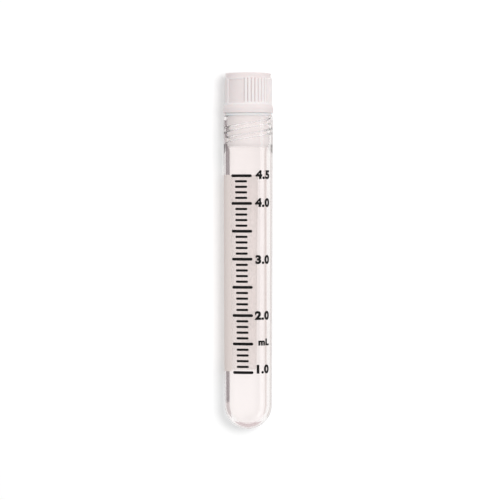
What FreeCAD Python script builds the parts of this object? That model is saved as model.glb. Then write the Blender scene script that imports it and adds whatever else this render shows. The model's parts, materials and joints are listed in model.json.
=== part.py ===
"""Cryovial: a round-bottomed tube with an internal thread, its screw cap and the sealing washer between them.

Every piece is drawn upright on the vial's axis, from the tip of the round bottom at height 0 to the cap's top.
The closed vial is then laid on its side, as it comes to rest, and each piece is written to parts/.
"""
import FreeCAD
import Part

import math
import os

from FreeCAD import Vector

# ---- the tube, in millimetres ----
TUBE_LENGTH = 78.30        # tip of the round bottom to the rim
NECK_RADIUS = 6.12         # straight outer wall round the thread
NECK_LENGTH = 8.00         # from the rim down to where the drafted wall starts
NECK_BORE_LENGTH = 7.10    # from the rim down to where the bore starts to narrow
TAPER_LENGTH = 2.40        # over which it narrows
BOTTOM_RADIUS = 5.89       # outer radius of the hemispherical bottom
BORE_RADIUS = 4.80
BOTTOM_WALL = 1.20         # wall at the tip
RIM_CHAMFER = 0.30

# ---- the washer ----
WASHER_THICKNESS = 0.70
WASHER_RADIUS = 5.90
WASHER_BORE_RADIUS = 4.75

# ---- the cap: heights run up from the washer ----
COLLAR_RADIUS = 6.28       # widest ring of the cap
COLLAR_LENGTH = 1.25
FLARE_LENGTH = 0.80        # from the collar in to the grip
GRIP_RADIUS = 6.00         # crests of the grip's ribs
GRIP_LENGTH = 6.65
CROWN_RADIUS = 5.68        # smooth ring above the grip
CROWN_LENGTH = 1.30
CROWN_ROUNDING = 0.35
RECESS_RADIUS = 4.30       # shallow recess in the cap's top
RECESS_DEPTH = 0.90
ROOF_THICKNESS = 1.30      # between the recess and the hollow of the plug
PLUG_LENGTH = 7.45         # how far the plug reaches down from the collar
PLUG_CHAMFER = 0.20
HOLLOW_RADIUS = 3.20       # the hollow inside the plug, open at its end

# ---- the grip: ribs between grooves, and two smooth thumb panels ----
RIB_PITCH_ANGLE = 9.0
FIRST_GROOVE_ANGLE = -100.3
RIBS_PER_SIDE = 15
PANEL_PITCHES = 5
PANEL_DEPTH = 0.20
PANEL_MARGIN = 0.30
GROOVE_WIDTH = 0.50
GROOVE_DEPTH = 0.22
GROOVE_POINT_LENGTH = 1.30

# ---- the thread: two starts, which let go of each other after a little over one turn ----
THREAD_STARTS = 2
THREAD_LEAD = 5.20
NECK_ROOT_RADIUS = 5.20    # bore of the neck, between the ridges
PLUG_ROOT_RADIUS = 4.55    # outside of the plug, between the ridges
RIDGE_HEIGHT = 0.49
RIDGE_ROOT_WIDTH = 1.50
RIDGE_CREST_WIDTH = 0.70
RIDGE_EMBED = 0.15         # how deep a ridge is sunk in the wall that carries it
RIDGE_RAMP_ANGLE = 16.0    # over which a ridge rises at each of its ends
RIDGE_TURNS = 0.95
NECK_RIDGE_ANGLE = 10.0    # where the first ridge in the neck starts
NECK_RIDGE_TOP_GAP = 1.20  # from the rim down to where the ridges in the neck end
PLUG_RIDGE_END_GAP = 0.90  # from the plug's end up to where the ridges on the plug start
FLANK_CLEARANCE = 0.12     # between the flanks that bear on each other, along the axis

# ---- levels worked out from the dimensions above ----
NECK_BOTTOM = TUBE_LENGTH - NECK_LENGTH
TAPER_TOP = TUBE_LENGTH - NECK_BORE_LENGTH
TAPER_BOTTOM = TAPER_TOP - TAPER_LENGTH
COLLAR_BOTTOM = TUBE_LENGTH + WASHER_THICKNESS
FLARE_BOTTOM = COLLAR_BOTTOM + COLLAR_LENGTH
GRIP_BOTTOM = FLARE_BOTTOM + FLARE_LENGTH
GRIP_TOP = GRIP_BOTTOM + GRIP_LENGTH
CAP_TOP = GRIP_TOP + CROWN_LENGTH
RECESS_FLOOR = CAP_TOP - RECESS_DEPTH
HOLLOW_ROOF = RECESS_FLOOR - ROOF_THICKNESS
PLUG_END = COLLAR_BOTTOM - PLUG_LENGTH
NECK_CREST_RADIUS = NECK_ROOT_RADIUS - RIDGE_HEIGHT
PLUG_CREST_RADIUS = PLUG_ROOT_RADIUS + RIDGE_HEIGHT
FLANK_SLOPE = (RIDGE_ROOT_WIDTH - RIDGE_CREST_WIDTH) / 2 / RIDGE_HEIGHT
RIDGE_OVERLAP = PLUG_CREST_RADIUS - NECK_CREST_RADIUS
RIDGE_SPACING = RIDGE_CREST_WIDTH + FLANK_SLOPE * RIDGE_OVERLAP + FLANK_CLEARANCE
NECK_RIDGE_START = TUBE_LENGTH - NECK_RIDGE_TOP_GAP - THREAD_LEAD * RIDGE_TURNS
PLUG_RIDGE_START = PLUG_END + PLUG_RIDGE_END_GAP
PLUG_RIDGE_LEAD = PLUG_RIDGE_START - NECK_RIDGE_START + RIDGE_SPACING
PLUG_RIDGE_ANGLE = NECK_RIDGE_ANGLE + 360 * PLUG_RIDGE_LEAD / THREAD_LEAD

CUTTER_MARGIN = 0.50       # how far a cutter stands out of the surface that it cuts
ORIGIN = Vector(0, 0, 0)
AXIS = Vector(0, 0, 1)
SEAM_ANGLE = -66.0         # where turned surfaces start and end, 24 degrees from the side that faces up


def section_point(radius, height):
    """A point of a half section, in the plane that is turned about the vial's axis."""
    return Vector(radius, 0, height)


def straight(start, end):
    return Part.LineSegment(start, end).toShape()


def outline(*corners):
    """The straight edges that join (radius, height) corners in turn."""
    points = [section_point(*corner) for corner in corners]
    return [straight(start, end) for start, end in zip(points, points[1:])]


def drafted_thimble(end_radius, tip_height, top_radius, top_height):
    """The edges from the axis, round a spherical end and up the drafted wall that leaves it tangentially."""
    centre_height = tip_height + end_radius
    rise = top_height - centre_height
    draft = math.atan2(top_radius, rise) - math.asin(end_radius / math.hypot(top_radius, rise))
    middle = math.radians(45)
    belly = section_point(end_radius * math.sin(middle), centre_height - end_radius * math.cos(middle))
    tangent = section_point(end_radius * math.cos(draft), centre_height - end_radius * math.sin(draft))
    round_end = Part.Arc(section_point(0, tip_height), belly, tangent).toShape()
    return [round_end, straight(tangent, section_point(top_radius, top_height))]


def turned(edges):
    """The solid that a closed half section sweeps about the axis."""
    wire = Part.Wire(Part.__sortEdges__(edges))
    solid = Part.Face(wire).revolve(ORIGIN, AXIS, 360)
    solid.rotate(ORIGIN, AXIS, SEAM_ANGLE)
    return solid


def at_angle(radius, angle, height=0.0):
    return Vector(radius * math.cos(math.radians(angle)), radius * math.sin(math.radians(angle)), height)


def ramp_cutter(root_radius, crest_radius, end_angle, inward, height):
    """A block that takes the top off a ridge's end, so that the ridge rises along RIDGE_RAMP_ANGLE."""
    beyond = crest_radius + math.copysign(RIDGE_CREST_WIDTH, crest_radius - root_radius)
    full = end_angle + inward * RIDGE_RAMP_ANGLE
    past = end_angle - inward * RIDGE_RAMP_ANGLE
    corners = [
        at_angle(root_radius, past),
        at_angle(root_radius, end_angle),
        at_angle(crest_radius, full),
        at_angle(beyond, full),
        at_angle(beyond, past),
    ]
    outline_wire = Part.makePolygon(corners + corners[:1])
    block = Part.Face(outline_wire).extrude(AXIS * THREAD_LEAD)
    block.translate(AXIS * (height - THREAD_LEAD / 2))
    return block


def thread_ridge(root_radius, crest_radius):
    """One right-hand ridge of a thread: a trapezoid swept up a helix from height 0, ramped at each end."""
    outward = math.copysign(1, crest_radius - root_radius)
    sunk_radius = root_radius - outward * RIDGE_EMBED
    sunk_half = RIDGE_ROOT_WIDTH / 2 + FLANK_SLOPE * RIDGE_EMBED
    crest_half = RIDGE_CREST_WIDTH / 2
    section = Part.makePolygon([
        section_point(sunk_radius, -sunk_half),
        section_point(crest_radius, -crest_half),
        section_point(crest_radius, crest_half),
        section_point(sunk_radius, sunk_half),
        section_point(sunk_radius, -sunk_half),
    ])
    helix = Part.Wire(Part.makeHelix(THREAD_LEAD, THREAD_LEAD * RIDGE_TURNS, root_radius))
    ridge = helix.makePipeShell([section], True, True)
    for turn, inward in ((0, 1), (RIDGE_TURNS, -1)):
        ridge = ridge.cut(ramp_cutter(root_radius, crest_radius, 360 * turn, inward, THREAD_LEAD * turn))
    return ridge


def thread(root_radius, crest_radius, start_angle, start_height):
    """The ridges of a thread, evenly spaced round the axis."""
    ridges = []
    for start in range(THREAD_STARTS):
        ridge = thread_ridge(root_radius, crest_radius)
        ridge.rotate(ORIGIN, AXIS, start_angle + 360 * start / THREAD_STARTS)
        ridge.translate(AXIS * start_height)
        ridges.append(ridge)
    return ridges


def make_tube():
    """The tube, one moulding: round bottom, drafted wall, and a neck straight outside and threaded inside."""
    outer = drafted_thimble(BOTTOM_RADIUS, 0, NECK_RADIUS, NECK_BOTTOM)
    neck = outline(
        (NECK_RADIUS, NECK_BOTTOM),
        (NECK_RADIUS, TUBE_LENGTH - RIM_CHAMFER),
        (NECK_RADIUS - RIM_CHAMFER, TUBE_LENGTH),
        (NECK_ROOT_RADIUS + RIM_CHAMFER, TUBE_LENGTH),
        (NECK_ROOT_RADIUS, TUBE_LENGTH - RIM_CHAMFER),
        (NECK_ROOT_RADIUS, TAPER_TOP),
        (BORE_RADIUS, TAPER_BOTTOM),
    )
    inner = drafted_thimble(BORE_RADIUS, BOTTOM_WALL, BORE_RADIUS, TAPER_BOTTOM)
    tip = outline((0, 0), (0, BOTTOM_WALL))
    wall = turned(outer + neck + inner + tip)
    ridges = thread(NECK_ROOT_RADIUS, NECK_CREST_RADIUS, NECK_RIDGE_ANGLE, NECK_RIDGE_START)
    return wall.fuse(ridges)


def make_washer():
    """The flat ring that the collar presses on the tube's rim."""
    return turned(outline(
        (WASHER_BORE_RADIUS, TUBE_LENGTH),
        (WASHER_RADIUS, TUBE_LENGTH),
        (WASHER_RADIUS, COLLAR_BOTTOM),
        (WASHER_BORE_RADIUS, COLLAR_BOTTOM),
        (WASHER_BORE_RADIUS, TUBE_LENGTH),
    ))


def grip_groove():
    """The cutter for one groove of the grip: a V-shaped bar that rises out of the surface above the flare."""
    depth = GROOVE_DEPTH + CUTTER_MARGIN
    half_mouth = GROOVE_WIDTH / 2 * depth / GROOVE_DEPTH
    full_height = GRIP_BOTTOM + GROOVE_POINT_LENGTH
    mouth_radius = GRIP_RADIUS + CUTTER_MARGIN
    tip = Vector(GRIP_RADIUS - GROOVE_DEPTH, 0, full_height)
    corners = [
        Vector(mouth_radius, -half_mouth, full_height),
        tip,
        Vector(mouth_radius, half_mouth, full_height),
    ]
    section = Part.Face(Part.makePolygon(corners + corners[:1]))
    bar = section.extrude(AXIS * (CAP_TOP - full_height))
    point = section.extrude(Vector(GROOVE_DEPTH, 0, -GROOVE_POINT_LENGTH))
    return bar.fuse(point)


def thumb_panel():
    """The cutter for one smooth panel: a curved slab sunk in the grip from its first groove to its last."""
    angle = PANEL_PITCHES * RIB_PITCH_ANGLE
    height = GRIP_LENGTH - 2 * PANEL_MARGIN
    base = AXIS * (GRIP_BOTTOM + PANEL_MARGIN)
    whole = Part.makeCylinder(GRIP_RADIUS + CUTTER_MARGIN, height, base, AXIS, angle)
    core = Part.makeCylinder(GRIP_RADIUS - PANEL_DEPTH, height, base)
    return whole.cut(core)


def make_cap():
    """The cap, one moulding: crown, ribbed grip, collar, and the hollow threaded plug below it."""
    top = outline((0, RECESS_FLOOR), (RECESS_RADIUS, RECESS_FLOOR), (RECESS_RADIUS, CAP_TOP))
    top += outline((RECESS_RADIUS, CAP_TOP), (CROWN_RADIUS - CROWN_ROUNDING, CAP_TOP))
    rounding_centre = section_point(CROWN_RADIUS - CROWN_ROUNDING, CAP_TOP - CROWN_ROUNDING)
    rounding = Part.Arc(
        rounding_centre + AXIS * CROWN_ROUNDING,
        rounding_centre + section_point(1, 1).normalize() * CROWN_ROUNDING,
        rounding_centre + section_point(CROWN_ROUNDING, 0),
    )
    outside = outline(
        (CROWN_RADIUS, CAP_TOP - CROWN_ROUNDING),
        (CROWN_RADIUS, GRIP_TOP),
        (GRIP_RADIUS, GRIP_TOP),
        (GRIP_RADIUS, GRIP_BOTTOM),
        (COLLAR_RADIUS, FLARE_BOTTOM),
        (COLLAR_RADIUS, COLLAR_BOTTOM),
        (PLUG_ROOT_RADIUS, COLLAR_BOTTOM),
        (PLUG_ROOT_RADIUS, PLUG_END + PLUG_CHAMFER),
        (PLUG_ROOT_RADIUS - PLUG_CHAMFER, PLUG_END),
    )
    hollow = outline(
        (PLUG_ROOT_RADIUS - PLUG_CHAMFER, PLUG_END),
        (HOLLOW_RADIUS, PLUG_END),
        (HOLLOW_RADIUS, HOLLOW_ROOF),
        (0, HOLLOW_ROOF),
        (0, RECESS_FLOOR),
    )
    body = turned(top + [rounding.toShape()] + outside + hollow)
    cutters = []
    side_angle = (RIBS_PER_SIDE + PANEL_PITCHES) * RIB_PITCH_ANGLE
    for side in range(2):
        first_angle = FIRST_GROOVE_ANGLE + side * side_angle
        for rib in range(RIBS_PER_SIDE + 1):
            cutter = grip_groove()
            cutter.rotate(ORIGIN, AXIS, first_angle + rib * RIB_PITCH_ANGLE)
            cutters.append(cutter)
        panel = thumb_panel()
        panel.rotate(ORIGIN, AXIS, first_angle + RIBS_PER_SIDE * RIB_PITCH_ANGLE)
        cutters.append(panel)
    ridges = thread(PLUG_ROOT_RADIUS, PLUG_CREST_RADIUS, PLUG_RIDGE_ANGLE, PLUG_RIDGE_START)
    return body.cut(cutters).fuse(ridges)


def lay_down(shape):
    """Turns an upright piece on its side, cap towards +Y, resting on its bottom and on the collar's edge."""
    run = COLLAR_BOTTOM - BOTTOM_RADIUS
    slope = math.atan2(COLLAR_RADIUS, run) - math.asin(BOTTOM_RADIUS / math.hypot(COLLAR_RADIUS, run))
    low_end = BOTTOM_RADIUS * (math.cos(slope) - 1)
    rounding_centre = Vector(CROWN_RADIUS - CROWN_ROUNDING, 0, CAP_TOP - CROWN_ROUNDING)
    high_end = rounding_centre.z * math.cos(slope) + rounding_centre.x * math.sin(slope) + CROWN_ROUNDING
    shape.rotate(ORIGIN, Vector(1, 0, 0), math.degrees(slope) - 90)
    shape.translate(Vector(0, -(low_end + high_end) / 2, BOTTOM_RADIUS * (1 - math.sin(slope))))
    return shape


os.makedirs("parts", exist_ok=True)
PIECES = {"vial_tube": make_tube(), "seal_washer": make_washer(), "screw_cap": make_cap()}
for name, piece in PIECES.items():
    lay_down(piece).exportStep(f"parts/{name}.step")
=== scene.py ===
"""Cryovial: the looks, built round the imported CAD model.

Lengths are in millimetres on the vial itself, and place() turns them into the frame's metres. A height runs
along the vial's axis from the tip of the round bottom towards the cap. An angle runs round the axis, in
degrees, from the side that faces up towards +X.
"""

import json
import math

import bmesh
import bpy
import numpy as np
from mathutils import Matrix, Vector


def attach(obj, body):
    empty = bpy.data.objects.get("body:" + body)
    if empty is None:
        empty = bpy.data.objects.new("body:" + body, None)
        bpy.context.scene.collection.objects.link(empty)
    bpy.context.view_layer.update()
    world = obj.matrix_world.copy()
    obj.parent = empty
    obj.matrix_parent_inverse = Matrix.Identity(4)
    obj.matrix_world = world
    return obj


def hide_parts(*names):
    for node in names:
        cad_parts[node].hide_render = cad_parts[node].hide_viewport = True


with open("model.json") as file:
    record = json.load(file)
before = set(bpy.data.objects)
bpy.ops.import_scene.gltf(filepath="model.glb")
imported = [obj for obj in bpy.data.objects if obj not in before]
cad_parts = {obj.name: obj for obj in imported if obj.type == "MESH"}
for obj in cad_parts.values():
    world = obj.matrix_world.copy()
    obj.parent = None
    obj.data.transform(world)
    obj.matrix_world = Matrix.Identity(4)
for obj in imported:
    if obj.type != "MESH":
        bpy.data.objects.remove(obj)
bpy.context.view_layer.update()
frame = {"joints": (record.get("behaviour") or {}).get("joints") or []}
MM = 0.001

# ---- meshes ----
EDGE_STEP = 0.06           # the short step at each end of a straight run
ARC_STEP = 0.25            # the longest step round an arc
TINY = 1e-6                # lengths under this count as none

# ---- the vial's axis, from the joint that the cap turns on ----
COLLAR_BOTTOM = 79.00      # height of the joint's point, on the cap's lower face
CAP_TURN = next(joint for joint in frame["joints"] if joint["name"] == "cap_turn")
ALONG = Vector(CAP_TURN["axis"]).normalized()
ACROSS = Vector((1, 0, 0))
UPWARD = ACROSS.cross(ALONG)
TIP = Vector(CAP_TURN["pos_m"]) - ALONG * COLLAR_BOTTOM * MM

# ---- tube ----
TUBE_LENGTH = 78.30
NECK_RADIUS = 6.12
NECK_BOTTOM = 70.30
BOTTOM_RADIUS = 5.89
BORE_RADIUS = 4.80
BOTTOM_WALL = 1.20
RIM_ROUNDING = 0.30
TAPER_TOP = 71.20          # the bore narrows from here
TAPER_BOTTOM = 68.80       # to here
TAPER_ROUNDING = 1.00
NECK_BLEND = 4.00          # the large rounding where the narrowing wall meets the straight neck
TUBE_COLUMNS = 240

# ---- washer ----
WASHER_RADIUS = 5.90
WASHER_BORE_RADIUS = 4.75
WASHER_ROUNDING = 0.15
WASHER_COLUMNS = 160

# ---- cap ----
COLLAR_RADIUS = 6.28
FLARE_BOTTOM = 80.25
GRIP_BOTTOM = 81.05
GRIP_RADIUS = 6.00
GRIP_TOP = 87.70
CROWN_RADIUS = 5.68
CAP_TOP = 89.00
CROWN_ROUNDING = 0.35
RECESS_RADIUS = 4.30
RECESS_FLOOR = 88.10
PLUG_END = 71.55
HOLLOW_RADIUS = 3.20
HOLLOW_ROOF = 86.80
EDGE_ROUNDING = 0.15
LEDGE_ROUNDING = 0.10      # between the grip and the crown
RECESS_ROUNDING = 0.20
PLUG_ROUNDING = 0.25
FLARE_ROUNDING = 0.40
HOLLOW_ROUNDING = 0.50
CAP_COLUMNS = 560

# ---- grip ----
RIB_PITCH = 9.0            # degrees
FIRST_GROOVE = -10.3       # degrees
RIBS_PER_SIDE = 15
PANEL_PITCHES = 5          # a smooth thumb panel is as wide as so many ribs
PANEL_DEPTH = 0.20
PANEL_MARGIN = 0.30        # what stays of the grip over and under a panel
PANEL_EDGE = 0.14          # width of the soft step round a panel
GROOVE_DEPTH = 0.42
GROOVE_POINT_LENGTH = 0.75

# ---- thread ----
THREAD_STARTS = 2
THREAD_LEAD = 5.20
NECK_ROOT_RADIUS = 5.20
PLUG_ROOT_RADIUS = 4.55
RIDGE_HEIGHT = 0.49
RIDGE_ROOT_WIDTH = 1.50
RIDGE_CREST_WIDTH = 0.70
RIDGE_RAMP_ANGLE = 16.0    # a ridge's end rises out of the wall over this angle
RIDGE_TURNS = 0.95
NECK_RIDGE_ANGLE = 100.0   # where the neck's first ridge starts,
NECK_RIDGE_START = 72.16   # and at what height
PLUG_RIDGE_ANGLE = 195.5   # where the plug's first ridge starts,
PLUG_RIDGE_START = 72.45   # and at what height

# ---- print ----
INK_DEPTH = 0.010          # how far the ink has bitten into the wall, so that no air shows under it
INK_HEIGHT = 0.016         # and how far it stands out of the wall
INK_CREASE = 40.0          # degrees from which an edge of the ink is hard
INK_STEP = 0.25            # the longest step of the ink's mesh round the tube,
INK_ROW = 6.0              # and along it
INK_CORNER_STEPS = 6       # round a corner
SCALE_TOP = 63.32          # height of the highest mark
SCALE_STEPS = 7            # from mark to mark, of half a millilitre each
SCALE_STEP = 6.87
SCALE_STEP_GROWTH = 0.020  # the tube narrows downwards, so the steps grow
MINOR_MARKS = 4            # between one mark and the next
MAJOR_ANGLES = (-43.3, 8.6)
MINOR_ANGLES = (-32.7, -2.5)
MAJOR_WIDTH = 0.71
MINOR_WIDTH = 0.58
SCALE_SKEW = 0.092         # degrees that the print leans per millimetre downwards
LABELS = (                 # text, step of its mark, and how far over the mark its middle lies
    ("4.5", 0, 0.28), ("4.0", 1, 0.20), ("3.0", 3, -0.10),
    ("2.0", 5, 0.00), ("mL", 6, 0.45), ("1.0", 7, 0.82),
)
LABEL_END = 59.5           # the angle at which the labels end on the right
LABEL_STRETCH = 1.19       # how much wider than the font,
LABEL_SPACING = 1.11       # how much further apart its letters,
LABEL_WEIGHT = 0.062       # and how much bolder, as a share of its size
LABEL_CURVE_STEPS = 12     # in each of the font's curves
LABEL_STRIP = 0.15         # a label is cut into upright strips so wide, which bend round the tube
NUMERAL_HEIGHT = 2.25
UNIT_HEIGHT = 1.75
PATCH_ANGLES = (-209.0, -47.0)
PATCH_TOP = 63.60
PATCH_BOTTOM = 14.60
PATCH_CORNER = 0.60


# ---- geometry ----

def place(height, radius, angle):
    """Points of the frame, in metres, for arrays of heights and radii in mm and angles in degrees."""
    turned = np.radians(angle)
    upward = (radius * np.cos(turned))[..., None] * np.array(UPWARD)
    across = (radius * np.sin(turned))[..., None] * np.array(ACROSS)
    return np.array(TIP) + MM * (height[..., None] * np.array(ALONG) + upward + across)


def smooth(share):
    """Eases a share from 0 to 1 into and out of its ends."""
    share = np.clip(share, 0, 1)
    return share * share * (3 - 2 * share)


def add_run(points, end, step):
    """Steps along a straight run to its end, with one short step at each end that keeps its shading flat."""
    start = points[-1]
    run = end - start
    length = run.length
    if length < TINY:
        return
    stops = [length]
    if length > 4 * EDGE_STEP:
        middle = length - 2 * EDGE_STEP
        count = max(1, math.ceil(middle / step))
        stops = [EDGE_STEP + middle * i / count for i in range(count + 1)] + [length]
    points.extend(start + run * (stop / length) for stop in stops)


def rounded_path(corners):
    """Points (radius, height) along straight runs joined by tangent arcs.

    A corner is (radius, height, rounding, step), with the longest step on the run that leads to it.
    """
    points = [Vector(corners[0][:2])]
    for before, corner, after in zip(corners, corners[1:], corners[2:]):
        here = Vector(corner[:2])
        into = (here - Vector(before[:2])).normalized()
        out = (Vector(after[:2]) - here).normalized()
        turn = math.atan2(into.x * out.y - into.y * out.x, into.dot(out))
        rounding = corner[2]
        start = here - into * rounding * math.tan(abs(turn) / 2)
        add_run(points, start, corner[3])
        side = math.copysign(1, turn)
        centre = start + Vector((-into.y, into.x)) * side * rounding
        spoke = start - centre
        count = max(4, math.ceil(abs(turn) * rounding / ARC_STEP))
        for i in range(1, count + 1):
            angle = turn * i / count
            points.append(centre + Vector((
                spoke.x * math.cos(angle) - spoke.y * math.sin(angle),
                spoke.x * math.sin(angle) + spoke.y * math.cos(angle),
            )))
    add_run(points, Vector(corners[-1][:2]), corners[-1][3])
    return np.array(points)


def new_piece(name, points, faces, body, crease=None):
    """A smooth mesh that rides on a body, with hard edges where it bends by more than crease degrees."""
    mesh = bpy.data.meshes.new(name)
    mesh.from_pydata(points, [], faces)
    mesh.validate()
    mesh.shade_smooth()
    if crease:
        mesh.set_sharp_from_angle(angle=math.radians(crease))
    piece = bpy.data.objects.new(name, mesh)
    bpy.context.scene.collection.objects.link(piece)
    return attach(piece, body)


def lathe(name, path, columns, body, relief=None, first_angle=0.0):
    """The closed surface that a path sweeps about the axis.

    A path that starts and ends on the axis closes there in two points, and any other path closes on itself.
    relief(radius, height, angle) gives the radius of each point once the surface's own relief is on it.
    """
    on_axis = path[0, 0] < TINY
    rings = path[1:-1] if on_axis else path[:-1]
    angle = first_angle + 360 * np.arange(columns) / columns
    radius, angle = np.meshgrid(rings[:, 0], angle, indexing="ij")
    height = np.repeat(rings[:, 1:], columns, axis=1)
    if relief:
        radius = relief(radius, height, angle)
    points = place(height, radius, angle).reshape(-1, 3)
    row = np.arange(columns)
    beside = (row + 1) % columns
    count = len(rings)
    faces = []
    for low in range(count - 1 if on_axis else count):
        high = (low + 1) % count
        here, there = low * columns, high * columns
        faces.extend(np.column_stack((here + row, here + beside, there + beside, there + row)).tolist())
    points = points.tolist()
    if on_axis:
        last = (count - 1) * columns
        points.extend(place(path[[0, -1], 1], np.zeros(2), np.zeros(2)).tolist())
        start_point = np.full(columns, count * columns)
        faces.extend(np.column_stack((start_point, beside, row)).tolist())
        faces.extend(np.column_stack((start_point + 1, last + row, last + beside)).tolist())
    return new_piece(name, points, faces, body)


def ridge_height(height, angle, first_angle, first_height):
    """How far the ridges of the two-start thread stand out of the wall that carries them."""
    stands = np.zeros_like(height)
    for start in range(THREAD_STARTS):
        turned = ((angle - first_angle) / 360 - start / THREAD_STARTS) % 1
        aside = np.abs(height - first_height - THREAD_LEAD * turned)
        flank = (RIDGE_ROOT_WIDTH / 2 - aside) / ((RIDGE_ROOT_WIDTH - RIDGE_CREST_WIDTH) / 2)
        end = np.minimum(turned, RIDGE_TURNS - turned) * 360 / RIDGE_RAMP_ANGLE
        stands = np.maximum(stands, RIDGE_HEIGHT * smooth(np.minimum(flank, end)))
    return stands


# ---- pieces ----

def wall_radius(height):
    """The tube's outer radius on the drafted wall."""
    share = (height - BOTTOM_RADIUS) / (NECK_BOTTOM - BOTTOM_RADIUS)
    return BOTTOM_RADIUS + (NECK_RADIUS - BOTTOM_RADIUS) * share


def make_tube():
    """The tube: round bottom, drafted wall, and the neck with its thread inside."""
    path = rounded_path([
        (0, 0, 0, 1),
        (wall_radius(0), 0, BOTTOM_RADIUS, 1),
        (NECK_RADIUS, NECK_BOTTOM, NECK_BLEND, 8),
        (NECK_RADIUS, TUBE_LENGTH, RIM_ROUNDING, 4),
        (NECK_ROOT_RADIUS, TUBE_LENGTH, RIM_ROUNDING, 1),
        (NECK_ROOT_RADIUS, TAPER_TOP, TAPER_ROUNDING, 0.1),
        (BORE_RADIUS, TAPER_BOTTOM, NECK_BLEND, 1),
        (BORE_RADIUS, BOTTOM_WALL, BORE_RADIUS, 8),
        (0, BOTTOM_WALL, 0, 1),
    ])

    def threaded(radius, height, angle):
        ridges = ridge_height(height, angle, NECK_RIDGE_ANGLE, NECK_RIDGE_START)
        return radius - np.where(np.isclose(radius, NECK_ROOT_RADIUS), ridges, 0)

    return lathe("tube", path, TUBE_COLUMNS, "tube", threaded)


def make_washer():
    """The flat sealing ring between the rim and the collar."""
    middle = (TUBE_LENGTH + COLLAR_BOTTOM) / 2
    path = rounded_path([
        (WASHER_BORE_RADIUS, middle, 0, 1),
        (WASHER_BORE_RADIUS, TUBE_LENGTH, WASHER_ROUNDING, 1),
        (WASHER_RADIUS, TUBE_LENGTH, WASHER_ROUNDING, 1),
        (WASHER_RADIUS, COLLAR_BOTTOM, WASHER_ROUNDING, 1),
        (WASHER_BORE_RADIUS, COLLAR_BOTTOM, WASHER_ROUNDING, 1),
        (WASHER_BORE_RADIUS, middle, 0, 1),
    ])
    return lathe("washer", path, WASHER_COLUMNS, "washer")


def grip_depth(height, angle):
    """How deep the grooves between the half-round ribs and the thumb panels are cut into the grip."""
    round_side = (angle - FIRST_GROOVE) % 180
    groove = np.round(round_side / RIB_PITCH)
    side_pitches = RIBS_PER_SIDE + PANEL_PITCHES
    real = (groove <= RIBS_PER_SIDE) | (groove == side_pitches)
    aside = np.abs(round_side - groove * RIB_PITCH) / (RIB_PITCH / 2)
    to_point = 1 - np.clip((height - GRIP_BOTTOM) / GROOVE_POINT_LENGTH, 0, 1)
    up_rib = np.clip(aside + to_point, 0, 1)
    grooves = np.where(real, GROOVE_DEPTH * (1 - np.sqrt(1 - (1 - up_rib) ** 2)), 0)
    from_side = np.minimum(round_side - RIBS_PER_SIDE * RIB_PITCH, 180 - round_side)
    from_end = np.minimum(height - GRIP_BOTTOM, GRIP_TOP - height) - PANEL_MARGIN
    inside = np.minimum(np.radians(from_side) * GRIP_RADIUS, from_end) / PANEL_EDGE
    return np.maximum(grooves, PANEL_DEPTH * smooth(inside))


def make_cap():
    """The cap: recessed top, crown, ribbed grip with two thumb panels, collar and hollow threaded plug."""
    path = rounded_path([
        (0, HOLLOW_ROOF, 0, 1),
        (HOLLOW_RADIUS, HOLLOW_ROOF, HOLLOW_ROUNDING, 1),
        (HOLLOW_RADIUS, PLUG_END, EDGE_ROUNDING, 8),
        (PLUG_ROOT_RADIUS, PLUG_END, PLUG_ROUNDING, 1),
        (PLUG_ROOT_RADIUS, COLLAR_BOTTOM, EDGE_ROUNDING, 0.14),
        (COLLAR_RADIUS, COLLAR_BOTTOM, EDGE_ROUNDING, 1),
        (COLLAR_RADIUS, FLARE_BOTTOM, FLARE_ROUNDING, 1),
        (GRIP_RADIUS, GRIP_BOTTOM, FLARE_ROUNDING, 1),
        (GRIP_RADIUS, GRIP_TOP, EDGE_ROUNDING, 0.22),
        (CROWN_RADIUS, GRIP_TOP, LEDGE_ROUNDING, 0.1),
        (CROWN_RADIUS, CAP_TOP, CROWN_ROUNDING, 1),
        (RECESS_RADIUS, CAP_TOP, EDGE_ROUNDING, 1),
        (RECESS_RADIUS, RECESS_FLOOR, RECESS_ROUNDING, 1),
        (0, RECESS_FLOOR, 0, 1),
    ])

    def moulded(radius, height, angle):
        ridges = ridge_height(height, angle, PLUG_RIDGE_ANGLE, PLUG_RIDGE_START)
        radius = radius + np.where(np.isclose(radius, PLUG_ROOT_RADIUS), ridges, 0)
        on_grip = (radius > CROWN_RADIUS) & (height > GRIP_BOTTOM) & (height <= GRIP_TOP + TINY)
        return np.where(on_grip, radius - grip_depth(height, angle), radius)

    return lathe("cap", path, CAP_COLUMNS, "cap", moulded, FIRST_GROOVE)


def skewed(angle, height):
    """The angle of a point of the print, which leans a little on the tube."""
    return angle + SCALE_SKEW * (SCALE_TOP - height)


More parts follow.
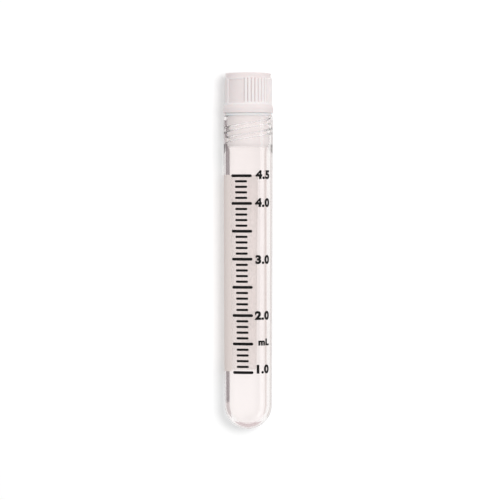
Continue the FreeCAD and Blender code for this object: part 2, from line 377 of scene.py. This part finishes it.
def slab(low, high, start, end, corner):
    """The points and faces of a closed skin of ink between two heights and two angles, with round corners."""
    middle = (low + high) / 2
    width = math.radians(end - start) * wall_radius(middle)
    turns = np.radians(np.linspace(0, 90, INK_CORNER_STEPS + 1)[1:])
    near = corner * (1 - np.cos(turns))
    cut = corner * (1 - np.sin(turns))
    between = np.linspace(corner, width - corner, max(2, math.ceil(width / INK_STEP)))[1:-1]
    stops = np.concatenate((near, between, width - near[::-1]))
    inset = np.concatenate((cut, np.zeros(len(between)), cut[::-1]))
    angle = start + (end - start) * stops / width
    up = np.linspace(0, 1, math.ceil((high - low) / INK_ROW) + 1)
    share = np.concatenate((up, up[::-1]))
    lift = np.repeat((-INK_DEPTH, INK_HEIGHT), len(up))
    ring = len(share)
    heights = (low + inset)[:, None] + (high - low - 2 * inset)[:, None] * share
    angles = skewed(np.repeat(angle[:, None], ring, axis=1), heights)
    points = place(heights, wall_radius(heights) + lift, angles).reshape(-1, 3).tolist()
    faces = []
    for column in range(len(stops) - 1):
        here, there = ring * column, ring * column + ring
        for i in range(ring):
            faces.append((here + (i + 1) % ring, there + (i + 1) % ring, there + i, here + i))
    last = ring * (len(stops) - 1)
    faces.append(tuple(reversed(range(ring))))
    faces.append(tuple(range(last, last + ring)))
    return points, faces


def joined(slabs):
    """The points and faces of several slabs as one list each."""
    points, faces = [], []
    for slab_points, slab_faces in slabs:
        faces.extend([index + len(points) for index in face] for face in slab_faces)
        points.extend(slab_points)
    return points, faces


def mark_height(step):
    """The height of a mark, counted in half-millilitre steps down from the highest."""
    return SCALE_TOP - step * (SCALE_STEP + SCALE_STEP_GROWTH * (step - 1))


def mark(height, width, angles):
    """One mark of the scale, with round ends."""
    return slab(height - width / 2, height + width / 2, *angles, width / 2)


def make_scale_marks():
    """The long marks at each half millilitre and the short ones between them."""
    slabs = []
    for step in range(SCALE_STEPS + 1):
        height = mark_height(step)
        slabs.append(mark(height, MAJOR_WIDTH, MAJOR_ANGLES))
        if step == SCALE_STEPS:
            continue
        gap = (height - mark_height(step + 1)) / (MINOR_MARKS + 1)
        for minor in range(1, MINOR_MARKS + 1):
            slabs.append(mark(height - minor * gap, MINOR_WIDTH, MINOR_ANGLES))
    return new_piece("scale_marks", *joined(slabs), "tube", INK_CREASE)


def make_writing_patch():
    """The white field that is written on, round the back and the left of the tube."""
    patch = slab(PATCH_BOTTOM, PATCH_TOP, *PATCH_ANGLES, PATCH_CORNER)
    return new_piece("writing_patch", *patch, "tube", INK_CREASE)


def flat_letters(text):
    """A text in the plain built-in font, made bolder, as a closed mesh from -0.5 to 0.5 thick."""
    curve = bpy.data.curves.new(text, "FONT")
    curve.body = text
    curve.align_x = "RIGHT"
    curve.offset = LABEL_WEIGHT
    curve.space_character = LABEL_SPACING
    curve.extrude = 0.5
    curve.resolution_u = LABEL_CURVE_STEPS
    source = bpy.data.objects.new(text, curve)
    bpy.context.scene.collection.objects.link(source)
    bpy.context.view_layer.update()
    evaluated = source.evaluated_get(bpy.context.evaluated_depsgraph_get())
    letters = bmesh.new()
    letters.from_mesh(bpy.data.meshes.new_from_object(evaluated))
    bpy.data.objects.remove(source)
    bmesh.ops.remove_doubles(letters, verts=letters.verts, dist=1e-5)
    return letters


def make_label(text, height, size):
    """A label of the scale, bent round the tube, with its middle at a height."""
    letters = flat_letters(text)
    corners = np.array([vertex.co for vertex in letters.verts])
    low, high = corners.min(axis=0), corners.max(axis=0)
    scale = size / (high[1] - low[1])
    for cut in np.arange(low[0], high[0], LABEL_STRIP / scale / LABEL_STRETCH)[1:]:
        geometry = letters.verts[:] + letters.edges[:] + letters.faces[:]
        bmesh.ops.bisect_plane(letters, geom=geometry, dist=1e-6, plane_co=(cut, 0, 0), plane_no=(1, 0, 0))
    for vertex in letters.verts:
        level = height + (vertex.co.y - (low[1] + high[1]) / 2) * scale
        across = (vertex.co.x - high[0]) * scale * LABEL_STRETCH
        radius = wall_radius(level)
        angle = LABEL_END + math.degrees(across / radius) + SCALE_SKEW * (height - level)
        lift = -INK_DEPTH + (INK_DEPTH + INK_HEIGHT) * (vertex.co.z + 0.5)
        vertex.co = place(np.array(level), np.array(radius + lift), np.array(angle))
    mesh = bpy.data.meshes.new("label_" + text)
    letters.to_mesh(mesh)
    letters.free()
    mesh.shade_flat()
    label = bpy.data.objects.new("label_" + text, mesh)
    bpy.context.scene.collection.objects.link(label)
    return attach(label, "tube")


# ---- materials ----

NOISE_SPAN = (0.30, 0.70)  # nearly all of a noise's values lie in it
TINT_SPAN = (0.35, 0.65)   # the noise's values over which a colour changes
BOTTOM_PAINTED_LIGHT_HEIGHTS = (24, 12)  # painted light: the clear wall grows paler from the first height to the second
NECK_HEIGHTS = (70, 71.4)  # the neck begins between these heights,
NECK_RADII = (5.70, 5.40)  # and its inner side between these radii
PLUG_PAINTED_LIGHT_HEIGHTS = (79.2, 78.9)  # the cap turns paler on its plug, painted light for the light that the neck keeps from it
GROOVE_PAINTED_SHADE_RADII = (5.80, 5.60)  # painted shade darkens the grip in its grooves,
CREST_PAINTED_HIGHLIGHT_RADII = (5.88, 5.97)   # and a painted highlight makes it paler on the crests of its ribs
GRIP_BLEND = 0.10          # over which that starts and ends along the grip
LIMB = (0.22, 0.55)        # where a wall's shadow starts and ends, by how far it turns from the lamp
LIMB_LIGHT = (0.99, 0.35)  # how much light passes before the first and past the second
THREAD_LIMB = (0.22, 0.30)  # where the thread's haze ends, by how far the surface turns away
THREAD_HAZE = 0.70         # roughness that the thread's surface adds
THREAD_MILK = 0.88         # share of the light that it scatters


def new_material(name):
    """A material with one Principled shader, and its node tree."""
    material = bpy.data.materials.new(name)
    material.use_nodes = True
    return material, material.node_tree, material.node_tree.nodes["Principled BSDF"]


def noise(tree, size, detail, stretch=(1, 1, 1)):
    """A noise texture in the frame's own space, with features of about that size in mm."""
    coordinates = tree.nodes.new("ShaderNodeTexCoord")
    mapping = tree.nodes.new("ShaderNodeMapping")
    mapping.inputs["Scale"].default_value = stretch
    texture = tree.nodes.new("ShaderNodeTexNoise")
    texture.inputs["Scale"].default_value = 1 / (size * MM)
    texture.inputs["Detail"].default_value = detail
    tree.links.new(coordinates.outputs["Object"], mapping.inputs["Vector"])
    tree.links.new(mapping.outputs["Vector"], texture.inputs["Vector"])
    return texture.outputs["Fac"]


def combine(tree, operation, one, other):
    """The output of a Math node that combines a socket with another socket or a number."""
    node = tree.nodes.new("ShaderNodeMath")
    node.operation = operation
    tree.links.new(one, node.inputs[0])
    if isinstance(other, float):
        node.inputs[1].default_value = other
    else:
        tree.links.new(other, node.inputs[1])
    return node.outputs["Value"]


def measure(tree, operation, one, other=(0, 0, 0)):
    """The output of a Vector Math node that works on a socket and a fixed vector."""
    node = tree.nodes.new("ShaderNodeVectorMath")
    node.operation = operation
    node.inputs[1].default_value = other
    tree.links.new(one, node.inputs[0])
    return node.outputs["Value" if operation in ("DOT_PRODUCT", "LENGTH") else "Vector"]


def height_and_radius(tree):
    """The height along the vial and the distance from its axis, both in metres."""
    coordinates = tree.nodes.new("ShaderNodeTexCoord")
    from_tip = measure(tree, "SUBTRACT", coordinates.outputs["Object"], TIP)
    height = measure(tree, "DOT_PRODUCT", from_tip, ALONG)
    return height, measure(tree, "LENGTH", measure(tree, "CROSS_PRODUCT", from_tip, ALONG))


def faces_out(tree):
    """1 on a surface that faces away from the vial's axis, and 0 on one that faces it."""
    coordinates = tree.nodes.new("ShaderNodeTexCoord")
    node = tree.nodes.new("ShaderNodeVectorMath")
    node.operation = "DOT_PRODUCT"
    tree.links.new(measure(tree, "SUBTRACT", coordinates.outputs["Object"], TIP), node.inputs[0])
    tree.links.new(tree.nodes.new("ShaderNodeNewGeometry").outputs["Normal"], node.inputs[1])
    return combine(tree, "GREATER_THAN", node.outputs["Value"], 0.0)


def ramp(tree, value, start, end, low=0.0, high=1.0):
    """Eases from low to high as a number passes from start to end."""
    node = tree.nodes.new("ShaderNodeMapRange")
    node.interpolation_type = "SMOOTHSTEP"
    node.inputs["From Min"].default_value = start
    node.inputs["From Max"].default_value = end
    node.inputs["To Min"].default_value = low
    node.inputs["To Max"].default_value = high
    tree.links.new(value, node.inputs["Value"])
    return node.outputs["Result"]


def passing(tree, length, span):
    """Eases from 0 to 1 as a length in metres passes from the first end of a span in mm to the second."""
    start, end = span
    return ramp(tree, length, start * MM, end * MM)


def vary(tree, factor, low, high):
    """Runs from low to high with a noise."""
    return ramp(tree, factor, *NOISE_SPAN, low, high)


def tint(tree, factor, one, other, socket):
    """Runs a shader's colour from one to the other with a noise."""
    colours = tree.nodes.new("ShaderNodeValToRGB")
    for element, position, colour in zip(colours.color_ramp.elements, TINT_SPAN, (one, other)):
        element.position = position
        element.color = (*colour, 1)
    tree.links.new(factor, colours.inputs["Fac"])
    tree.links.new(colours.outputs["Color"], socket)


def fade(tree, factor, socket, colour):
    """Fades the colour that feeds a socket into one more colour, with a factor."""
    mix = tree.nodes.new("ShaderNodeMix")
    mix.data_type = "RGBA"
    mix.inputs["B"].default_value = (*colour, 1)
    tree.links.new(factor, mix.inputs["Factor"])
    tree.links.new(socket.links[0].from_socket, mix.inputs["A"])
    tree.links.new(mix.outputs["Result"], socket)


def bump(tree, shader, factor, depth):
    """Raises the surface by up to depth, in mm, with a factor."""
    node = tree.nodes.new("ShaderNodeBump")
    node.inputs["Strength"].default_value = 1.0
    node.inputs["Distance"].default_value = depth * MM
    tree.links.new(factor, node.inputs["Height"])
    if shader.inputs["Normal"].is_linked:
        tree.links.new(shader.inputs["Normal"].links[0].from_socket, node.inputs["Normal"])
    tree.links.new(node.outputs["Normal"], shader.inputs["Normal"])


def turned_away(tree):
    """How far a surface turns away from the ray that meets it: 0 squarely, 1 at its limb."""
    node = tree.nodes.new("ShaderNodeLayerWeight")
    node.inputs["Blend"].default_value = 0.5
    return node.outputs["Facing"]


def let_lamps_through(tree, shader, everywhere):
    """Lets the lamps' light through a clear material: most where it meets it squarely, least at the limbs.

    Where everywhere is 1, all of the light goes through.
    """
    path = tree.nodes.new("ShaderNodeLightPath").outputs
    passed = combine(tree, "MAXIMUM", ramp(tree, turned_away(tree), *LIMB, *LIMB_LIGHT), everywhere)
    clear = tree.nodes.new("ShaderNodeBsdfTransparent")
    tree.links.new(combine(tree, "MAXIMUM", passed, path["Is Diffuse Ray"]), clear.inputs["Color"])
    mix = tree.nodes.new("ShaderNodeMixShader")
    tree.links.new(combine(tree, "MAXIMUM", path["Is Shadow Ray"], path["Is Diffuse Ray"]), mix.inputs["Fac"])
    tree.links.new(shader.outputs["BSDF"], mix.inputs[1])
    tree.links.new(clear.outputs["BSDF"], mix.inputs[2])
    tree.links.new(mix.outputs["Shader"], tree.nodes["Material Output"].inputs["Surface"])


def clear_polypropylene():
    """Clear moulded plastic, faintly warm, with soft flow waves along the tube, a haze on the thread, and
    painted light that makes it paler towards the bottom.
    """
    material, tree, shader = new_material("clear_polypropylene")
    shader.inputs["IOR"].default_value = 1.49
    tint(tree, noise(tree, 9, 3), (0.980, 0.940, 0.932), (0.965, 0.922, 0.913), shader.inputs["Base Color"])
    height, radius = height_and_radius(tree)
    # Painted light: the clear wall is paler towards the bottom.
    fade(tree, passing(tree, height, BOTTOM_PAINTED_LIGHT_HEIGHTS), shader.inputs["Base Color"], (0.990, 0.956, 0.949))
    inside = combine(tree, "MULTIPLY", passing(tree, height, NECK_HEIGHTS), passing(tree, radius, NECK_RADII))
    fade(tree, inside, shader.inputs["Base Color"], (0.990, 0.925, 0.918))
    thread = combine(tree, "MULTIPLY", inside, ramp(tree, turned_away(tree), *THREAD_LIMB, 1.0, 0.0))
    gloss = vary(tree, noise(tree, 3, 4), 0.03, 0.09)
    haze = combine(tree, "MULTIPLY", thread, THREAD_HAZE)
    tree.links.new(combine(tree, "ADD", gloss, haze), shader.inputs["Roughness"])
    tree.links.new(ramp(tree, thread, 0.0, 1.0, 1.0, 1.0 - THREAD_MILK), shader.inputs["Transmission Weight"])
    bump(tree, shader, noise(tree, 2.5, 2, (1, 0.12, 1)), 0.010)
    let_lamps_through(tree, shader, inside)
    return material


def white_polypropylene():
    """White moulded plastic with a soft sheen and a fine grain, with painted shade in the grip's grooves, a
    painted highlight on the ribs' crests and painted light on the plug.
    """
    material, tree, shader = new_material("white_polypropylene")
    shader.inputs["IOR"].default_value = 1.49
    shader.inputs["Subsurface Weight"].default_value = 0.20
    shader.inputs["Subsurface Radius"].default_value = (1.0, 0.75, 0.65)
    shader.inputs["Subsurface Scale"].default_value = 0.25 * MM
    tint(tree, noise(tree, 4, 4), (0.905, 0.818, 0.815), (0.925, 0.840, 0.836), shader.inputs["Base Color"])
    height, radius = height_and_radius(tree)
    over_flare = passing(tree, height, (GRIP_BOTTOM - GRIP_BLEND, GRIP_BOTTOM + GRIP_BLEND))
    under_crown = passing(tree, height, (GRIP_TOP, GRIP_TOP - GRIP_BLEND))
    on_grip = combine(tree, "MULTIPLY", over_flare, under_crown)
    # Painted shade: the grip's colour is darker in its grooves, where shade falls.
    groove = combine(tree, "MULTIPLY", on_grip, passing(tree, radius, GROOVE_PAINTED_SHADE_RADII))
    # Painted highlight: the grip's colour is paler on the crests of its ribs.
    painted_crest_highlight = combine(tree, "MULTIPLY", on_grip, passing(tree, radius, CREST_PAINTED_HIGHLIGHT_RADII))
    fade(tree, groove, shader.inputs["Base Color"], (0.55, 0.46, 0.46))
    fade(tree, painted_crest_highlight, shader.inputs["Base Color"], (0.990, 0.935, 0.930))
    # Painted light: the plug is paler, to make up for the light that the neck keeps from it.
    fade(tree, passing(tree, height, PLUG_PAINTED_LIGHT_HEIGHTS), shader.inputs["Base Color"], (0.975, 0.925, 0.905))
    tree.links.new(vary(tree, noise(tree, 1.5, 5), 0.30, 0.42), shader.inputs["Roughness"])
    bump(tree, shader, noise(tree, 0.09, 3), 0.003)
    return material


def silicone():
    """Milky silicone rubber."""
    material, tree, shader = new_material("silicone")
    shader.inputs["IOR"].default_value = 1.41
    shader.inputs["Subsurface Weight"].default_value = 0.6
    shader.inputs["Subsurface Radius"].default_value = (1.0, 0.8, 0.7)
    shader.inputs["Subsurface Scale"].default_value = 0.8 * MM
    tint(tree, noise(tree, 1.2, 3), (0.96, 0.92, 0.91), (0.98, 0.95, 0.94), shader.inputs["Base Color"])
    tree.links.new(vary(tree, noise(tree, 0.6, 4), 0.42, 0.58), shader.inputs["Roughness"])
    bump(tree, shader, noise(tree, 0.2, 3), 0.003)
    return material


def ink(name, dark, pale, rough, cover=None):
    """Screen-printed ink: even colour with the faint grain of the printing mesh.

    From outside it covers fully. From inside, through the wall, it covers by a share that varies over cover.
    A face seen from behind shows nothing, so that the skin of ink counts once.
    """
    material, tree, shader = new_material(name)
    if cover:
        behind = tree.nodes.new("ShaderNodeNewGeometry").outputs["Backfacing"]
        film = combine(tree, "MAXIMUM", vary(tree, noise(tree, 0.8, 4), *cover), faces_out(tree))
        shown = combine(tree, "MULTIPLY", ramp(tree, behind, 0.0, 1.0, 1.0, 0.0), film)
        tree.links.new(shown, shader.inputs["Alpha"])
    shader.inputs["IOR"].default_value = 1.50
    shader.inputs["Specular IOR Level"].default_value = 0.10
    tint(tree, noise(tree, 0.5, 5), dark, pale, shader.inputs["Base Color"])
    tree.links.new(vary(tree, noise(tree, 0.3, 3), rough - 0.08, rough + 0.08), shader.inputs["Roughness"])
    bump(tree, shader, noise(tree, 0.12, 2), 0.003)
    return material


def dress(piece, material, replaced=()):
    """Gives a piece its material, and hides the CAD nodes that it stands for."""
    piece.data.materials.append(material)
    if replaced:
        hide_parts(*replaced)


# ---- the vial ----

dress(make_tube(), clear_polypropylene(), ["vial_tube"])
dress(make_washer(), silicone(), ["seal_washer"])
dress(make_cap(), white_polypropylene(), ["screw_cap"])
black_ink = ink("black_ink", (0.004, 0.004, 0.004), (0.009, 0.008, 0.008), 0.50)
dress(make_scale_marks(), black_ink)
for text, step, lift in LABELS:
    size = UNIT_HEIGHT if text == "mL" else NUMERAL_HEIGHT
    dress(make_label(text, mark_height(step) + lift, size), black_ink)
white_ink = ink("white_ink", (0.940, 0.835, 0.795), (0.965, 0.862, 0.825), 0.55, (0.38, 0.48))
dress(make_writing_patch(), white_ink)


# ---- studio ----

IMAGE_WIDTH = 125.10       # mm across the picture at the vial's axis
CAMERA_DISTANCE = 800.0
CAMERA_LEVEL = 58.5        # height on the vial that the camera stands straight over
AIM_LEVEL = 44.78          # height on the vial at the picture's middle
AIM_ASIDE = 0.47           # how far beside the axis the picture's middle is
KEY_SIZE = 200.0
KEY_DISTANCE = 620.0
KEY_TILT = 15.0            # from overhead towards +X
KEY_LEAN = 6.0             # and towards the cap
KEY_LEVEL = 0.42           # what the lamp alone makes of a white floor
WORLD_LEVEL = 0.42
WORLD_TOWARDS = (-0.3, 0.85, 0.3)  # where the world is brightest,
WORLD_SWING = 0.34         # by this, and it is darker by as much in the opposite direction
WORLD_GLOSS = 1.00         # what shiny surfaces mirror of the white studio
FLOOR_SHADE = 0.94
FLOOR_LIFT = 0.21          # what the floor shines by itself towards the camera and through clear things
FLOOR_GLOW = 0.98          # what clear things show of it instead of their own shadow,
FLOOR_EVENNESS = 0.80      # and how far they do
FLOOR_SIZE = 3000.0
FLAG_LEVEL = 0.1           # how far over the floor the dark cards lie
FLAG_SLANT = (0.45, 0.62)  # where a flag starts and ends to vanish, by how aslant it is seen
STRIP_TILT = 67.0          # from overhead towards +X
STRIP_DISTANCE = 500.0
STRIP_WIDTH = 170.0
STRIP_LENGTH = 1200.0
STRIP_LEVEL = 2.6
SQUARE = ((-1, -1), (1, -1), (1, 1), (-1, 1))  # the corners of a square, from its middle


def look_at(thing, target, up):
    """Turns a camera or a lamp to face a point, with its top towards up."""
    back = (thing.location - target).normalized()
    right = up.cross(back).normalized()
    thing.rotation_euler = Matrix((right, back.cross(right), back)).transposed().to_euler()


def make_camera():
    """The camera, over the upper half of the vial and aimed at the picture's middle."""
    data = bpy.data.cameras.new("camera")
    camera = bpy.data.objects.new("camera", data)
    data.sensor_width = 36
    reach = math.hypot(CAMERA_DISTANCE, CAMERA_LEVEL - AIM_LEVEL)
    data.lens = data.sensor_width * reach / IMAGE_WIDTH
    data.clip_start = 0.01
    data.clip_end = 10
    target = TIP + (ALONG * AIM_LEVEL + ACROSS * AIM_ASIDE) * MM
    camera.location = TIP + (ALONG * CAMERA_LEVEL + ACROSS * AIM_ASIDE + UPWARD * CAMERA_DISTANCE) * MM
    look_at(camera, target, ALONG)
    bpy.context.scene.collection.objects.link(camera)
    bpy.context.scene.camera = camera


def make_key():
    """The lamp: a softbox high on the right, which throws the soft shadow to the left."""
    data = bpy.data.lights.new("key", "AREA")
    data.shape = "SQUARE"
    data.size = KEY_SIZE * MM
    tilt = math.radians(KEY_TILT)
    away = Vector((math.sin(tilt), math.sin(math.radians(KEY_LEAN)), math.cos(tilt))).normalized()
    data.energy = KEY_LEVEL * math.pi ** 2 * (KEY_DISTANCE * MM) ** 2 / away.z
    key = bpy.data.objects.new("key", data)
    key.location = away * KEY_DISTANCE * MM
    look_at(key, Vector((0, 0, 0)), ALONG)
    key.visible_glossy = False
    key.visible_transmission = False
    bpy.context.scene.collection.objects.link(key)


def seen_directly(tree):
    """1 for what is seen straight, mirrored or through clear things, and 0 for what only lights a surface."""
    path = tree.nodes.new("ShaderNodeLightPath").outputs
    seen = combine(tree, "MAXIMUM", path["Is Camera Ray"], path["Is Glossy Ray"])
    seen = combine(tree, "MAXIMUM", seen, path["Is Transmission Ray"])
    return combine(tree, "MULTIPLY", seen, combine(tree, "LESS_THAN", path["Diffuse Depth"], 0.5))


def make_world():
    """White all round: dim as a light, bright where it is seen or mirrored."""
    world = bpy.data.worlds.new("studio")
    world.use_nodes = True
    tree = world.node_tree
    sky = tree.nodes["Background"]
    sky.inputs["Color"].default_value = (1, 1, 1, 1)
    direction = tree.nodes.new("ShaderNodeTexCoord").outputs["Generated"]
    towards = measure(tree, "DOT_PRODUCT", direction, Vector(WORLD_TOWARDS).normalized())
    light = tree.nodes.new("ShaderNodeMapRange")
    light.inputs["From Min"].default_value = -1.0
    light.inputs["To Min"].default_value = WORLD_LEVEL - WORLD_SWING
    light.inputs["To Max"].default_value = WORLD_LEVEL + WORLD_SWING
    strength = tree.nodes.new("ShaderNodeMapRange")
    strength.inputs["To Max"].default_value = WORLD_GLOSS
    tree.links.new(towards, light.inputs["Value"])
    tree.links.new(light.outputs["Result"], strength.inputs["To Min"])
    tree.links.new(seen_directly(tree), strength.inputs["Value"])
    tree.links.new(strength.outputs["Result"], sky.inputs["Strength"])
    world.cycles.sampling_method = "NONE"
    bpy.context.scene.world = world


def make_floor():
    """A plain white floor that takes the shadow, lifted to white where the camera or clear things see it."""
    half = FLOOR_SIZE / 2 * MM
    mesh = bpy.data.meshes.new("floor")
    mesh.from_pydata([(x * half, y * half, 0) for x, y in SQUARE], [], [(0, 1, 2, 3)])
    floor = bpy.data.objects.new("floor", mesh)
    bpy.context.scene.collection.objects.link(floor)
    material, tree, shader = new_material("floor")
    shader.inputs["Base Color"].default_value = (FLOOR_SHADE, FLOOR_SHADE, FLOOR_SHADE, 1)
    shader.inputs["Roughness"].default_value = 1.0
    shader.inputs["Specular IOR Level"].default_value = 0.0
    shader.inputs["Emission Color"].default_value = (1, 1, 1, 1)
    lift = combine(tree, "MULTIPLY", seen_directly(tree), FLOOR_LIFT)
    tree.links.new(lift, shader.inputs["Emission Strength"])
    material.cycles.emission_sampling = "NONE"
    glow = tree.nodes.new("ShaderNodeEmission")
    glow.inputs["Strength"].default_value = FLOOR_GLOW
    mix = tree.nodes.new("ShaderNodeMixShader")
    path = tree.nodes.new("ShaderNodeLightPath").outputs
    through = combine(tree, "MULTIPLY", path["Is Transmission Ray"], seen_directly(tree))
    tree.links.new(combine(tree, "MULTIPLY", through, FLOOR_EVENNESS), mix.inputs["Fac"])
    tree.links.new(shader.outputs["BSDF"], mix.inputs[1])
    tree.links.new(glow.outputs["Emission"], mix.inputs[2])
    tree.links.new(mix.outputs["Shader"], tree.nodes["Material Output"].inputs["Surface"])
    mesh.materials.append(material)


def make_card(name, corners, colour, level):
    """An evenly bright card that the camera doesn't see. It lights no matt surface and casts no shadow."""
    mesh = bpy.data.meshes.new(name)
    mesh.from_pydata([Vector(corner) * MM for corner in corners], [], [(0, 1, 2, 3)])
    card = bpy.data.objects.new(name, mesh)
    bpy.context.scene.collection.objects.link(card)
    material, tree, shader = new_material(name)
    shader.inputs["Base Color"].default_value = (0, 0, 0, 1)
    shader.inputs["Specular IOR Level"].default_value = 0.0
    shader.inputs["Emission Color"].default_value = (*colour, 1)
    shader.inputs["Emission Strength"].default_value = level
    material.cycles.emission_sampling = "NONE"
    mesh.materials.append(material)
    card.visible_camera = False
    card.visible_diffuse = False
    card.visible_shadow = False
    return card, tree, shader


def make_flag(name, across, heights, colour):
    """A dark card of painted shade on the floor by the tube. Only mirrored and refracted rays from above it
    see it.
    """
    left, right = across
    near, far = (TIP.y / MM + height for height in heights)
    corners = [(x, y, FLAG_LEVEL) for x, y in ((left, near), (right, near), (right, far), (left, far))]
    flag, tree, shader = make_card(name, corners, colour, 1.0)
    tree.links.new(ramp(tree, turned_away(tree), *FLAG_SLANT, 1.0, 0.0), shader.inputs["Alpha"])


def make_strip():
    """A long white softbox on the right, which only mirroring surfaces see."""
    tilt = math.radians(STRIP_TILT)
    away = Vector((math.sin(tilt), 0, math.cos(tilt)))
    half = Vector((math.cos(tilt), 0, -math.sin(tilt))) * STRIP_WIDTH / 2
    reach = Vector((0, STRIP_LENGTH / 2, 0))
    corners = [away * STRIP_DISTANCE + x * half + y * reach for x, y in SQUARE]
    strip, _, _ = make_card("strip", corners, (1, 1, 1), STRIP_LEVEL)
    strip.visible_transmission = False


make_camera()
make_key()
make_strip()
make_world()
make_floor()
# The dark cards, painted shade that the clear wall shows at its edges: their sides across the vial, their
# ends along it, and how bright they are.
make_flag("flag_left", (-40.0, -8.2), (6.2, 77.5), (0.31, 0.27, 0.28))
make_flag("flag_left_end", (-40.0, -8.2), (-2.0, 6.2), (0.60, 0.54, 0.54))
make_flag("flag_right", (6.0, 8.8), (1.0, 77.5), (0.72, 0.67, 0.65))
make_flag("flag_tip", (-7.0, 7.0), (-12.0, -2.3), (0.66, 0.56, 0.57))
bpy.context.scene.view_settings.view_transform = "Standard"
